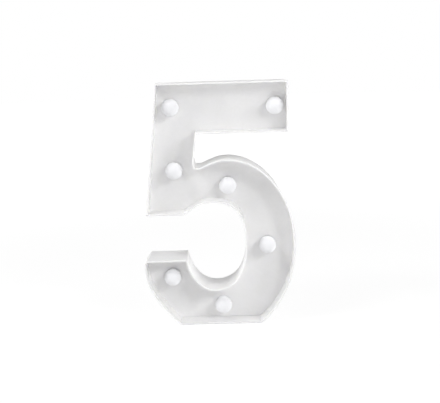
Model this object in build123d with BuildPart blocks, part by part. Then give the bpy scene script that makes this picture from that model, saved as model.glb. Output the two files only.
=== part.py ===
from build123d import *
import os

# A battery lamp in the shape of a figure five: a white moulded tray with a raised rim, a
# recessed panel that carries seven frosted globe bulbs, and a screwed back cover with a
# battery bay, a slide switch and two keyhole slots for hanging. X runs to the right as
# seen from the front, Y to the back and Z up. The origin is at the middle of the foot.

# Outer size of the figure
figure_height = 220.0
figure_width = 137.4
case_depth = 40.0

# Height of the top bar, which holds the battery bay
bar_height = 45.2

# Corners and crowns of the outline, as shares of the figure's width, from its middle, and of
# its height. The bar's lower edge follows from the bar's height.
bar_shares = (-0.384, 0.463)
stem_foot_shares = ((-0.475, 0.467), (-0.221, 0.467))
stem_inner_top_share = -0.125
stem_inner_foot_shares = (-0.151, 0.682)
notch_shares = ((-0.143, 0.660), (-0.112, 0.660))
bowl_crown_shares = (0.058, 0.692)
bowl_side_level_share = 0.332
base_shares = (-0.277, 0.266)
terminal_corner_shares = (-0.214, 0.279)
terminal_side_level_share = 0.245
hole_foot_shares = (-0.033, 0.150)
hole_side_shares = (0.170, 0.332)
hole_crown_shares = (-0.044, 0.516)

# Handles of the outline's curves, as shares of the run between the curve's two ends,
# along X and along Z: the first pair for the handle at the start, the second for the end
notch_handle_shares = ((0.34, 0.56), (0.68, 1.00))
shoulder_handle_shares = ((0.57, 0.00), (1.00, 0.47))
heel_handle_shares = ((0.00, 0.38), (0.33, 0.75))
toe_handle_shares = ((0.40, 0.24), (1.00, 0.61))
hole_left_handle_shares = ((0.07, 0.47), (0.46, 1.00))
hole_foot_handle_shares = ((0.54, 0.00), (1.00, 0.25))
hole_side_handle_shares = ((0.00, 0.77), (0.35, 1.00))
hole_crown_handle_shares = ((0.34, 0.00), (0.68, 0.35))

# Mouldings
wall = 1.7
outer_draft = 1.2
corner_round = 0.8
terminal_round = 4.0
foot_trim = 0.05
rim_round = 0.45
panel_thickness = 2.0
panel_room = 2.5
cover_thickness = 2.0
cover_inset = 0.4
cover_fit = 0.25
overrun = 5.0

# Places of the bulbs, as shares of the figure's width and height
bulb_place_shares = (
    (-0.295, 0.900),
    (0.378, 0.898),
    (-0.286, 0.643),
    (0.063, 0.578),
    (0.317, 0.324),
    (-0.321, 0.193),
    (0.014, 0.068),
)

# Globe of a bulb, with the neck that passes through the panel
globe_radius = 7.75
globe_stand = 6.4
globe_wall = 1.1
neck_radius = 6.0
neck_reach = 1.6
neck_fit = 0.1
collar_radius = 6.8
collar_thickness = 0.7

# Cap that holds a diode in the neck from behind
holder_radius = 7.5
holder_fit = 0.05
holder_disc = 1.2
holder_gap = 0.1
holder_plug_depth = 2.4

# Five millimetre diode
diode_radius = 2.5
diode_flange_radius = 2.9
diode_flange = 1.0
diode_length = 8.6
diode_fit = 0.05
lead_side = 0.5
lead_pitch = 2.54
lead_length = 6.3

# Bosses and screws that hold the cover
boss_place_shares = (
    (-0.359, 0.823),
    (0.415, 0.824),
    (-0.197, 0.970),
    (0.317, 0.964),
    (-0.418, 0.500),
    (0.240, 0.609),
    (0.437, 0.418),
    (0.335, 0.123),
    (-0.146, 0.055),
    (-0.430, 0.242),
)
boss_radius = 3.0
screw_radius = 1.1
screw_length = 10.0
screw_head_radius = 2.5
screw_fit = 0.05
screw_hole_radius = 1.4
screw_sink_radius = 2.65
screw_recess_width = 0.6
screw_recess_length = 3.0
screw_recess_depth = 0.9
pilot_spare = 1.5

# Battery cells, size AA
cell_radius = 7.25
cell_can_length = 49.5
cell_nub_radius = 2.75
cell_nub_length = 1.0
cell_edge = 0.5
cell_gap = 0.6
cell_side_room = 0.4
cell_top_room = 0.35
cell_floor_room = 0.15

# Bay that holds the cells
bay_wall = 1.5
bay_floor = 1.4
bay_centre_x = 8.0
bay_top_room = 0.8
contact_thickness = 0.4
contact_height = 11.0
contact_reach = 9.0
spring_length = 4.0
spring_radius = 3.6
spring_tip_radius = 2.6
tab_width = 3.0
tab_reach = 2.2
tab_slot_room = 0.2

# Battery door
door_thickness = 1.7
door_gap = 0.2
tongue_width = 2.4
tongue_reach = 1.5
tongue_thickness = 1.0
tongue_drop = 0.2
tongue_root = 1.6
tongue_inset = 0.5
tongue_room = 0.3
tongue_swing_depth = 4.4
latch_width = 12.0
latch_length = 5.0
latch_slot = 0.8
latch_root = 7.0
grip_length = 6.0
grip_width = 1.2
grip_depth = 0.6
grip_pitch = 2.2
grip_count = 4
grip_inset = 7.0

# Slide switch, on the inside of the cover
switch_place_shares = (-0.298, 0.541)
switch_length = 11.6
switch_width = 5.6
switch_depth = 5.5
switch_plate_length = 19.4
switch_plate_thickness = 0.5
switch_peg_pitch = 15.0
switch_peg_radius = 0.95
switch_peg_fit = 0.1
switch_peg_head_radius = 1.5
switch_peg_head = 0.6
slider_length = 3.6
slider_width = 2.6
slider_travel = 2.5
slider_fit = 0.1
slider_foot = 1.6
slider_proud = 1.8
slider_rib = 0.35
slider_rib_count = 3
window_room = 0.5
blade_width = 1.2
blade_thickness = 0.4
blade_length = 4.4
blade_pitch = 2.5

# Keyhole slots for hanging
keyhole_entry_radius = 4.0
keyhole_slot_radius = 2.1
keyhole_slot_length = 7.0
keyhole_drop = 15.5

# Wires
wire_radius = 0.6
wire_bend = 2.0
link_rise = 6.8
feed_rise = 9.0
supply_rise = 11.4
resistor_radius = 1.2
resistor_length = 6.5
resistor_lead_radius = 0.3
resistor_lead_length = 3.0
resistor_run = 5.6
resistor_foot_share = 0.741
minus_bend_share = 0.36
minus_bend_rise = 7.5
feed_run_share = -0.327
bay_wire_room = 2.6

# Corners of the wires' routes, as shares of the figure's width and height
link_2_turn_shares = (0.378, 0.852)
link_2_run_shares = (0.305, -0.222)
link_1_turn_share = 0.941
link_1_to_3_shares = ((-0.295, 0.790), (-0.286, 0.740))
link_3_to_4_shares = ((-0.286, 0.595), (-0.100, 0.610), (0.063, 0.650))
link_4_to_5_shares = ((0.063, 0.540), (0.317, 0.450))
link_5_to_7_shares = ((0.317, 0.200), (0.014, 0.118))
link_7_to_6_shares = ((0.014, 0.030), (-0.170, 0.030), (-0.321, 0.125))
switch_to_bulbs_shares = ((-0.298, 0.507), (-0.357, 0.507), (-0.357, 0.764), (-0.327, 0.800))

# Places that follow from the sizes above
front_face = -case_depth / 2
back_face = case_depth / 2
cover_back = back_face - cover_inset
cover_front = cover_back - cover_thickness
bar_level = figure_height - bar_height
half_width = figure_width / 2
cavity_inset = wall + outer_draft
cavity_foot = wall
door_front = cover_back - door_thickness
cell_axis_level = door_front - cell_top_room - cell_radius
bay_floor_front = cell_axis_level - cell_radius - cell_floor_room - bay_floor
panel_back = bay_floor_front - panel_room
panel_front = panel_back - panel_thickness
recess_depth = panel_front - front_face
cavity_depth = back_face - panel_back
link_level = panel_back + link_rise
feed_level = panel_back + feed_rise
supply_level = panel_back + supply_rise
cell_length = cell_can_length + cell_nub_length
bay_length = 2 * contact_thickness + spring_length + cell_length
bay_width = 4 * cell_radius + cell_gap + 2 * cell_side_room
bay_centre_level = figure_height - cavity_inset - bay_top_room - bay_wall - bay_width / 2
bay_left = bay_centre_x - bay_length / 2
bay_right = bay_centre_x + bay_length / 2
tab_tip = bay_left - bay_wall - tab_reach
resistor_x = tab_tip - resistor_run
positive_cell_level = bay_centre_level + cell_radius + cell_gap / 2
negative_cell_level = bay_centre_level - cell_radius - cell_gap / 2
tongue_level = bay_width / 2 - tongue_inset - tongue_width / 2
tongue_levels = [bay_centre_level - tongue_level, bay_centre_level + tongue_level]
tongue_front = cover_front - tongue_drop - tongue_thickness
neck_length = globe_stand + panel_thickness + neck_reach
holder_height = neck_reach + holder_gap + holder_disc
plug_radius = neck_radius - globe_wall - holder_fit
diode_flange_front = panel_thickness + holder_height
diode_body = diode_length - diode_flange - diode_radius
positive_tab = (supply_level, positive_cell_level)
negative_tab = (feed_level, negative_cell_level)
bridge_height = positive_cell_level - negative_cell_level + contact_height
switch_plate_front = cover_front - switch_plate_thickness
switch_slot_length = slider_length + slider_travel + 2 * slider_fit
slider_pocket = slider_foot + slider_fit
window_length = slider_length + slider_travel + 2 * window_room
window_width = slider_width + 2 * window_room


def places(shares):
    """Places on the figure, from shares of its width and height."""
    return [(x * figure_width, z * figure_height) for x, z in shares]


bulb_places = places(bulb_place_shares)
boss_places = places(boss_place_shares)
bar_left, bar_right = [x * figure_width for x in bar_shares]
base_left, base_right = [x * figure_width for x in base_shares]
stem_foot_left, stem_foot_right = places(stem_foot_shares)
notch_left, notch_right = places(notch_shares)
stem_inner_top = stem_inner_top_share * figure_width
(stem_inner_foot,) = places([stem_inner_foot_shares])
(bowl_crown,) = places([bowl_crown_shares])
(terminal_right,) = places([terminal_corner_shares])
(hole_foot,) = places([hole_foot_shares])
(hole_side,) = places([hole_side_shares])
(hole_crown,) = places([hole_crown_shares])
bowl_side = (half_width, bowl_side_level_share * figure_height)
terminal_side = (-half_width, terminal_side_level_share * figure_height)
terminal_left = (-half_width, terminal_right[1])
((switch_x, switch_level),) = places([switch_place_shares])
resistor_foot_level = resistor_foot_share * figure_height
resistor_head_level = resistor_foot_level + resistor_length + 2 * resistor_lead_length
keyhole_level = figure_height - keyhole_drop


def facing_back(level):
    """Plane whose sketches show X to the right and Z up, and which extrudes to the back."""
    return Plane(origin=(0, level, 0), x_dir=(-1, 0, 0), z_dir=(0, 1, 0))


def at_back(x, z):
    """A place on such a plane, whose own X runs to the left."""
    return (-x, z)


# Outline of the figure, clockwise as seen from the front: each corner or crown, with the
# handles of the curve that leads to the next one, or none where the edge is straight
figure_corners = [
    (stem_foot_left, None),
    ((bar_left, figure_height), None),
    ((bar_right, figure_height), None),
    ((bar_right, bar_level), None),
    ((stem_inner_top, bar_level), None),
    (stem_inner_foot, None),
    (notch_left, None),
    (notch_right, notch_handle_shares),
    (bowl_crown, shoulder_handle_shares),
    (bowl_side, heel_handle_shares),
    ((base_right, 0), None),
    ((base_left, 0), toe_handle_shares),
    (terminal_side, None),
    (terminal_left, None),
    (terminal_right, hole_left_handle_shares),
    (hole_foot, hole_foot_handle_shares),
    (hole_side, hole_side_handle_shares),
    (hole_crown, hole_crown_handle_shares),
    (stem_foot_right, None),
]
smooth_corners = (8, 9, 12, 15, 16, 17)
heel_corner = 10
toe_corner = 11
terminal_corner = 13


def curve_points(start, end, shares):
    """The ends of a stretch of outline, with its handles as shares of the run between."""
    run = end - start
    if shares is None:
        return [start, end]
    handles = [start + Vector(run.X * x, run.Y * z) for x, z in shares]
    return [start, *handles, end]


def inward(tail, tip):
    """Unit vector to the inside of the figure, square to a stretch of its outline."""
    run = (tip - tail).normalized()
    return Vector(run.Y, -run.X)


def drawn_in(inset, foot_level):
    """The outline's corners, each moved in so that both its edges lie an inset deeper.

    The foot is flat, so it lies at a level of its own.
    """
    corners = [Vector(x, z) for (x, z), shares in figure_corners]
    count = len(corners)
    moved = []
    for index, corner in enumerate(corners):
        before = curve_points(corners[index - 1], corner, figure_corners[index - 1][1])
        after = curve_points(corner, corners[(index + 1) % count], figure_corners[index][1])
        arriving = inward(before[-2], before[-1])
        leaving = inward(after[0], after[1])
        place = corner + (arriving + leaving) * (inset / (1 + arriving.dot(leaving)))
        if index == heel_corner:
            side = before[-2] - before[-1]
            place += side * ((foot_level - place.Y) / side.Y)
        if index == toe_corner:
            side = after[1] - after[0]
            place += side * ((foot_level - place.Y) / side.Y)
        moved.append(place)
    return moved


def figure_sketch(level, inset, foot_level):
    """The figure as a face at a depth, drawn in from the outer wall by the inset."""
    corners = drawn_in(inset, foot_level)
    count = len(corners)
    with BuildSketch(facing_back(level)) as sketch:
        with BuildLine():
            for index, corner in enumerate(corners):
                shares = figure_corners[index][1]
                points = curve_points(corner, corners[(index + 1) % count], shares)
                stretch = [at_back(point.X, point.Y) for point in points]
                if shares is None:
                    Line(*stretch)
                else:
                    Bezier(*stretch)
        make_face()
        for index, corner in enumerate(corners):
            if index not in smooth_corners:
                place = at_back(corner.X, corner.Y)
                vertex = sketch.vertices().sort_by_distance(place)[0]
                is_terminal = index == terminal_corner
                fillet(vertex, radius=terminal_round - inset if is_terminal else corner_round)
    return sketch.sketch


def back_places(level, points):
    """Locations on the plane at a depth, one for each place on the figure."""
    plane = facing_back(level)
    return [plane * Location((*at_back(x, z), 0)) for x, z in points]


# Places on those planes
bulb_spots = [at_back(x, z) for x, z in bulb_places]
boss_spots = [at_back(x, z) for x, z in boss_places]
bay_spot = at_back(bay_centre_x, bay_centre_level)
latch_notch_spot = at_back(bay_right + latch_length / 2 - overrun / 2, bay_centre_level)
tongue_slot_spots = [at_back(bay_left, z) for z in tongue_levels]
latch_slot_spots = [
    at_back(bay_right - door_gap, bay_centre_level + side * (latch_width + latch_slot) / 2)
    for side in (-1, 1)
]
tongue_root_spots = [at_back(bay_left + tongue_root, z) for z in tongue_levels]
grip_spot = at_back(bay_right - grip_inset, bay_centre_level)
keyhole_xs = [bulb_places[0][0], bulb_places[1][0]]
keyhole_slot_middle = keyhole_level + keyhole_slot_length / 2
keyhole_entry_spots = [at_back(x, keyhole_level) for x in keyhole_xs]
keyhole_slot_spots = [at_back(x, keyhole_slot_middle) for x in keyhole_xs]
switch_peg_spots = [
    at_back(switch_x + side * switch_peg_pitch / 2, switch_level) for side in (-1, 1)
]


os.makedirs("parts", exist_ok=True)


def finish(piece, name):
    """Labels a finished piece and writes it."""
    piece.part.label = name
    export_step(piece.part, f"parts/{name}.step")


# Front shell: the tray with its walls, panel and bosses, in one moulding
with BuildPart() as front_shell:
    rim_outline = figure_sketch(front_face, 0, -foot_trim)
    back_outline = figure_sketch(back_face, outer_draft, -foot_trim)
    loft([rim_outline, back_outline], ruled=True)
    split(bisect_by=Plane.XY, keep=Keep.TOP)
    rim_edges = front_shell.faces().sort_by(Axis.Y)[0].edges()
    back_edges = front_shell.faces().sort_by(Axis.Y)[-1].edges()
    fillet(rim_edges + back_edges, radius=rim_round)
    recess_outline = figure_sketch(front_face - overrun, wall, wall)
    extrude(recess_outline, amount=recess_depth + overrun, mode=Mode.SUBTRACT)
    cavity_outline = figure_sketch(panel_back, cavity_inset, cavity_foot)
    extrude(cavity_outline, amount=cavity_depth + overrun, mode=Mode.SUBTRACT)
    with BuildSketch(facing_back(panel_back)):
        with Locations(*boss_spots):
            Circle(boss_radius)
    extrude(amount=cover_front - panel_back)
    with BuildSketch(facing_back(cover_front)):
        with Locations(*boss_spots):
            Circle(screw_radius + screw_fit)
    extrude(amount=-(screw_length - cover_thickness + pilot_spare), mode=Mode.SUBTRACT)
    with BuildSketch(facing_back(panel_front - overrun)):
        with Locations(*bulb_spots):
            Circle(neck_radius + neck_fit)
    extrude(amount=panel_thickness + 2 * overrun, mode=Mode.SUBTRACT)
finish(front_shell, "front_shell")


# Back cover: a plate inside the walls, with the battery bay moulded on its inner side
with BuildPart() as back_cover:
    cover_outline = figure_sketch(cover_front, cavity_inset + cover_fit, cavity_foot + cover_fit)
    extrude(cover_outline, amount=cover_thickness)
    with BuildSketch(facing_back(bay_floor_front)):
        with Locations(bay_spot):
            Rectangle(bay_length + 2 * bay_wall, bay_width + 2 * bay_wall)
    extrude(amount=cover_front - bay_floor_front)
    with BuildSketch(facing_back(bay_floor_front + bay_floor)):
        with Locations(bay_spot):
            Rectangle(bay_length, bay_width)
    extrude(amount=case_depth, mode=Mode.SUBTRACT)
    with BuildSketch(facing_back(cover_front)):
        with Locations(latch_notch_spot):
            Rectangle(latch_length + overrun, latch_width)
    extrude(amount=overrun, mode=Mode.SUBTRACT)
    with BuildSketch(facing_back(cover_front)):
        with Locations(*tongue_slot_spots):
            Rectangle(2 * bay_wall, tongue_width + 2 * tongue_room)
    extrude(amount=-tongue_swing_depth, mode=Mode.SUBTRACT)
    with BuildSketch(Plane.YZ.offset(bay_left)):
        with Locations((feed_level, negative_cell_level), (supply_level, positive_cell_level)):
            Rectangle(contact_thickness + 2 * tab_slot_room, tab_width + 2 * tab_slot_room)
    extrude(amount=-overrun, mode=Mode.SUBTRACT)
    with BuildSketch(facing_back(cover_front)):
        with Locations(*keyhole_entry_spots):
            Circle(keyhole_entry_radius)
        with Locations(*keyhole_slot_spots):
            SlotOverall(keyhole_slot_length, 2 * keyhole_slot_radius, rotation=90)
    extrude(amount=overrun, mode=Mode.SUBTRACT)
    with BuildSketch(facing_back(cover_front)):
        with Locations(at_back(switch_x, switch_level)):
            Rectangle(window_length, window_width)
    extrude(amount=overrun, mode=Mode.SUBTRACT)
    with BuildSketch(facing_back(cover_front)):
        with Locations(*switch_peg_spots):
            Circle(switch_peg_radius)
    extrude(amount=-switch_plate_thickness)
    with BuildSketch(facing_back(cover_front - switch_plate_thickness)):
        with Locations(*switch_peg_spots):
            Circle(switch_peg_head_radius)
    extrude(amount=-switch_peg_head)
    with Locations(*back_places(cover_back, boss_places)):
        CounterSinkHole(screw_hole_radius, screw_sink_radius, depth=cover_thickness)
finish(back_cover, "back_cover")


# Battery door: a flush plate with two tongues under the cover's edge and a springy latch
with BuildPart() as battery_door:
    with BuildSketch(facing_back(door_front)):
        with Locations(bay_spot):
            Rectangle(bay_length - 2 * door_gap, bay_width - 2 * door_gap)
        with Locations(at_back(bay_right - door_gap, bay_centre_level)):
            Rectangle(
                latch_length,
                latch_width - 2 * door_gap,
                align=(Align.MAX, Align.CENTER),
            )
        with Locations(*latch_slot_spots):
            Rectangle(latch_root, latch_slot, align=(Align.MIN, Align.CENTER), mode=Mode.SUBTRACT)
    extrude(amount=door_thickness)
    with BuildSketch(facing_back(tongue_front)):
        with Locations(*tongue_root_spots):
            Rectangle(tongue_root - door_gap, tongue_width, align=(Align.MIN, Align.CENTER))
    extrude(amount=door_front - tongue_front)
    with BuildSketch(facing_back(tongue_front)):
        with Locations(*tongue_root_spots):
            Rectangle(
                tongue_root + tongue_reach,
                tongue_width,
                align=(Align.MIN, Align.CENTER),
            )
    extrude(amount=tongue_thickness)
    with BuildSketch(facing_back(cover_back)):
        with Locations(grip_spot):
            with GridLocations(grip_pitch, 0, grip_count, 1):
                SlotOverall(grip_length, grip_width, rotation=90)
    extrude(amount=-grip_depth, mode=Mode.SUBTRACT)
finish(battery_door, "battery_door")


# Countersunk screws that hold the cover to the bosses, all alike
with BuildPart() as cover_screws:
    with BuildSketch(Plane.XY) as screw_profile:
        with BuildLine():
            Polyline(
                (0, cover_back),
                (screw_head_radius, cover_back),
                (screw_radius, cover_back - screw_head_radius + screw_radius),
                (screw_radius, cover_back - screw_length + screw_radius),
                (0, cover_back - screw_length),
                close=True,
            )
        make_face()
    with Locations(*[Location((x, 0, z)) for x, z in boss_places]):
        add(revolve(screw_profile.sketch, axis=Axis.Y, mode=Mode.PRIVATE))
    with BuildSketch(facing_back(cover_back)):
        with Locations(*boss_spots):
            Rectangle(screw_recess_length, screw_recess_width)
            Rectangle(screw_recess_width, screw_recess_length)
    extrude(amount=-screw_recess_depth, mode=Mode.SUBTRACT)
finish(cover_screws, "cover_screws")


def bulb_plane(place):
    """Plane through a bulb's axis: local X is the radius, local Y the depth from the panel."""
    return Plane(origin=(place[0], panel_front, place[1]), x_dir=(1, 0, 0), z_dir=(0, 0, 1))


# Bulbs: each has a frosted globe, a cap behind the panel and a diode in the cap
for number, place in enumerate(bulb_places, start=1):
    plane = bulb_plane(place)
    turning_axis = Axis(plane.origin, plane.y_dir)
    with BuildPart() as bulb_globe:
        with BuildSketch(plane):
            with Locations((0, -globe_stand)):
                Circle(globe_radius)
            with Locations((0, -globe_stand)):
                Rectangle(2 * neck_radius, neck_length, align=(Align.CENTER, Align.MIN))
            with Locations((0, 0)):
                Rectangle(2 * collar_radius, collar_thickness, align=(Align.CENTER, Align.MAX))
            with Locations((0, -globe_stand)):
                Circle(globe_radius - globe_wall, mode=Mode.SUBTRACT)
                Rectangle(
                    2 * (neck_radius - globe_wall),
                    neck_length,
                    align=(Align.CENTER, Align.MIN),
                    mode=Mode.SUBTRACT,
                )
            split(bisect_by=Plane.YZ, keep=Keep.TOP)
        revolve(axis=turning_axis)
    finish(bulb_globe, f"bulb_globe_{number}")

    with BuildPart() as led_holder:
        with BuildSketch(plane):
            with Locations((0, panel_thickness)):
                Rectangle(2 * holder_radius, holder_height, align=(Align.CENTER, Align.MIN))
                Rectangle(
                    2 * (neck_radius + neck_fit),
                    neck_reach + holder_gap,
                    align=(Align.CENTER, Align.MIN),
                    mode=Mode.SUBTRACT,
                )
            with Locations((0, panel_thickness + neck_reach + holder_gap)):
                Rectangle(2 * plug_radius, holder_plug_depth, align=(Align.CENTER, Align.MAX))
            with Locations((0, panel_thickness + holder_height)):
                Rectangle(
                    2 * (diode_radius + diode_fit),
                    holder_height + holder_plug_depth,
                    align=(Align.CENTER, Align.MAX),
                    mode=Mode.SUBTRACT,
                )
            split(bisect_by=Plane.YZ, keep=Keep.TOP)
        revolve(axis=turning_axis)
    finish(led_holder, f"led_holder_{number}")

    with BuildPart() as led:
        with BuildSketch(plane):
            with Locations((0, diode_flange_front)):
                Rectangle(2 * diode_flange_radius, diode_flange, align=(Align.CENTER, Align.MIN))
                Rectangle(2 * diode_radius, diode_body, align=(Align.CENTER, Align.MAX))
            with Locations((0, diode_flange_front - diode_body)):
                Circle(diode_radius)
            split(bisect_by=Plane.YZ, keep=Keep.TOP)
        revolve(axis=turning_axis)
        with BuildSketch(facing_back(panel_front + diode_flange_front + diode_flange)):
            with Locations(at_back(*place)):
                with GridLocations(lead_pitch, 0, 2, 1):
                    Rectangle(lead_side, lead_side)
        extrude(amount=lead_length)
    finish(led, f"led_{number}")


# Battery cells, head to tail, each with its nub at the positive end
def battery_cell(name, level, nub_face, head):
    """One cell along X, whose nub points to the head side: -1 for left, 1 for right."""
    plane = Plane(origin=(nub_face, cell_axis_level, level), x_dir=(-head, 0, 0), z_dir=(0, 0, 1))
    with BuildPart() as cell:
        with BuildSketch(plane):
            with BuildLine():
                Polyline(
                    (0, 0),
                    (0, cell_nub_radius),
                    (cell_nub_length, cell_nub_radius),
                    (cell_nub_length, cell_radius - cell_edge),
                    (cell_nub_length + cell_edge, cell_radius),
                    (cell_length - cell_edge, cell_radius),
                    (cell_length, cell_radius - cell_edge),
                    (cell_length, 0),
                    close=True,
                )
            make_face()
        revolve(axis=Axis(plane.origin, plane.x_dir))
    finish(cell, name)


battery_cell("battery_cell_1", positive_cell_level, bay_left + contact_thickness, -1)
battery_cell("battery_cell_2", negative_cell_level, bay_right - contact_thickness, 1)


def contact(name, wall_x, side, level, width, tabs):
    """A spring steel plate on the bay's end wall; side is -1 for the left wall.

    Each tab, given by its depth and level, passes out through a slot in the wall.
    """
    with BuildPart() as plate:
        with BuildSketch(Plane.YZ.offset(wall_x)):
            with Locations((cell_axis_level, level)):
                Rectangle(contact_reach, width)
        extrude(amount=-side * contact_thickness)
        if tabs:
            with BuildSketch(Plane.YZ.offset(wall_x)):
                with Locations(*tabs):
                    Rectangle(contact_thickness, tab_width)
            extrude(amount=side * (bay_wall + tab_reach))
    finish(plate, name)


contact("contact_positive", bay_left, -1, positive_cell_level, contact_height, [positive_tab])
contact("contact_negative", bay_left, -1, negative_cell_level, contact_height, [negative_tab])
contact("contact_bridge", bay_right, 1, bay_centre_level, bridge_height, [])


def battery_spring(name, plate_x, side, level):
    """The conical spring that presses a cell's flat end, with its wide end on the plate."""
    with BuildPart() as spring:
        with BuildSketch(Plane.YZ.offset(plate_x)):
            with Locations((cell_axis_level, level)):
                Circle(spring_radius)
        with BuildSketch(Plane.YZ.offset(plate_x - side * spring_length)):
            with Locations((cell_axis_level, level)):
                Circle(spring_tip_radius)
        loft()
    finish(spring, name)


battery_spring("spring_negative", bay_left + contact_thickness, -1, negative_cell_level)
battery_spring("spring_bridge", bay_right - contact_thickness, 1, positive_cell_level)


# Slide switch: a metal-cased body whose two ears are staked to the cover, and its slider
with BuildPart() as switch_body:
    with BuildSketch(facing_back(switch_plate_front)):
        with Locations(at_back(switch_x, switch_level)):
            Rectangle(switch_plate_length, switch_width)
        with Locations(*switch_peg_spots):
            Circle(switch_peg_radius + switch_peg_fit, mode=Mode.SUBTRACT)
    extrude(amount=switch_plate_thickness)
    with BuildSketch(facing_back(switch_plate_front)):
        with Locations(at_back(switch_x, switch_level)):
            Rectangle(switch_length, switch_width)
    extrude(amount=-switch_depth)
    with BuildSketch(facing_back(cover_front)):
        with Locations(at_back(switch_x, switch_level)):
            Rectangle(switch_slot_length, slider_width + 2 * slider_fit)
    extrude(amount=-slider_pocket, mode=Mode.SUBTRACT)
    with BuildSketch(facing_back(switch_plate_front - switch_depth)):
        with Locations(at_back(switch_x, switch_level)):
            with GridLocations(blade_pitch, 0, 3, 1):
                Rectangle(blade_thickness, blade_width)
    extrude(amount=-blade_length)
finish(switch_body, "switch_body")

with BuildPart() as switch_slider:
    with BuildSketch(facing_back(cover_front - slider_foot)):
        with Locations(at_back(switch_x - slider_travel / 2, switch_level)):
            Rectangle(slider_length, slider_width)
    extrude(amount=slider_foot + slider_proud)
    with BuildSketch(facing_back(cover_front + slider_proud)):
        with Locations(at_back(switch_x - slider_travel / 2, switch_level)):
            with GridLocations(slider_length / slider_rib_count, 0, slider_rib_count, 1):
                Rectangle(slider_rib, slider_width)
    extrude(amount=-slider_rib, mode=Mode.SUBTRACT)
finish(switch_slider, "switch_slider")


def draw_wire(points, radius):
    """A wire along straight runs with rounded turns, squarely cut at both ends."""
    start = Vector(*points[0])
    heading = Vector(*points[1]) - start
    with BuildPart() as wire:
        with BuildLine():
            if len(points) > 2:
                FilletPolyline(*points, radius=wire_bend)
            else:
                Line(*points)
        with BuildSketch(Plane(origin=start, z_dir=heading)):
            Circle(radius)
        sweep()
    return wire.part


def side_by_side(points, offset):
    """A flat route moved sideways, so that two wires of a pair run side by side."""
    route = [Vector(x, z) for x, z in points]
    moved = []
    for index, point in enumerate(route):
        sides = []
        if index > 0:
            sides.append(inward(route[index - 1], point))
        if index < len(route) - 1:
            sides.append(inward(point, route[index + 1]))
        mean = sides[0] + sides[-1]
        moved.append(point + mean * (offset / (1 + sides[0].dot(sides[-1]))))
    return moved


def wire_pair(name, points):
    """Two wires from the leads of one diode to the leads of the next."""
    with BuildPart() as pair:
        for offset in (-lead_pitch / 2, lead_pitch / 2):
            route = side_by_side(points, offset)
            add(draw_wire([(point.X, link_level, point.Y) for point in route], wire_radius))
    finish(pair, name)


def above(number):
    """The upper face of a diode's leads."""
    x, z = bulb_places[number - 1]
    return (x, z + lead_side / 2)


def below(number):
    """The lower face of a diode's leads."""
    x, z = bulb_places[number - 1]
    return (x, z - lead_side / 2)


under_bay_level = bay_centre_level - bay_width / 2 - bay_wall - bay_wire_room
link_2_run = [(x * figure_width, under_bay_level) for x in link_2_run_shares]
link_1_turn_level = link_1_turn_share * figure_height
link_1_turn = [(link_2_run[1][0], link_1_turn_level), (bulb_places[0][0], link_1_turn_level)]
link_routes = [
    [below(2), *places([link_2_turn_shares]), *link_2_run, *link_1_turn, above(1)],
    [below(1), *places(link_1_to_3_shares), above(3)],
    [below(3), *places(link_3_to_4_shares), above(4)],
    [below(4), *places(link_4_to_5_shares), above(5)],
    [below(5), *places(link_5_to_7_shares), above(7)],
    [below(7), *places(link_7_to_6_shares), below(6)],
]
for number, route in enumerate(link_routes, start=1):
    wire_pair(f"wire_link_{number}", route)


def feed_wire(name, level, points):
    """One wire at a depth, through places on the figure."""
    with BuildPart() as wire:
        add(draw_wire([(x, level, z) for x, z in points], wire_radius))
    finish(wire, name)


first_x, first_level = bulb_places[0]
cathode_x = first_x + lead_pitch / 2
anode_face = first_x - lead_pitch / 2 - lead_side / 2
minus_bend_x = tab_tip + minus_bend_share * (cathode_x - tab_tip)
minus_bend_level = first_level + minus_bend_rise
feed_run_x = feed_run_share * figure_width
feed_wire(
    "wire_battery_minus",
    feed_level,
    [
        (tab_tip, negative_cell_level),
        (minus_bend_x, negative_cell_level),
        (minus_bend_x, minus_bend_level),
        (cathode_x, minus_bend_level),
        (cathode_x, first_level + lead_side / 2),
    ],
)
feed_wire(
    "wire_battery_plus",
    supply_level,
    [
        (tab_tip, positive_cell_level),
        (resistor_x, positive_cell_level),
        (resistor_x, resistor_head_level),
    ],
)
feed_wire(
    "wire_resistor_to_switch",
    supply_level,
    [
        (resistor_x, resistor_foot_level),
        (resistor_x, switch_level),
        (switch_x + blade_pitch + blade_thickness / 2, switch_level),
    ],
)
feed_wire(
    "wire_switch_to_bulbs",
    feed_level,
    [
        (switch_x, switch_level - blade_width / 2),
        *places(switch_to_bulbs_shares),
        (feed_run_x, first_level),
        (anode_face, first_level),
    ],
)

# Resistor in the supply wire, upright beside the stem's inner wall
with BuildPart() as resistor:
    with BuildSketch(Plane.XY.offset(resistor_foot_level)):
        with Locations((resistor_x, supply_level)):
            Circle(resistor_lead_radius)
    extrude(amount=resistor_head_level - resistor_foot_level)
    with BuildSketch(Plane.XY.offset(resistor_foot_level + resistor_lead_length)):
        with Locations((resistor_x, supply_level)):
            Circle(resistor_radius)
    extrude(amount=resistor_length)
finish(resistor, "resistor")
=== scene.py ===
# %% [markdown]
# # A light up marquee figure, dressed in Blender
# The object is a figure five made as a shallow white plastic tray, with seven frosted globe
# bulbs on a recessed panel and a screwed cover behind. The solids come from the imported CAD
# model, which is the fixed frame for everything here. This lesson gives those solids their
# finishes, and builds the small pieces whose real form the solids leave out, such as coil
# springs, crimped battery cells and cross-head screws.

# %% Load the frame
import math

import bmesh
import bpy
from mathutils import Matrix, Vector


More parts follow.
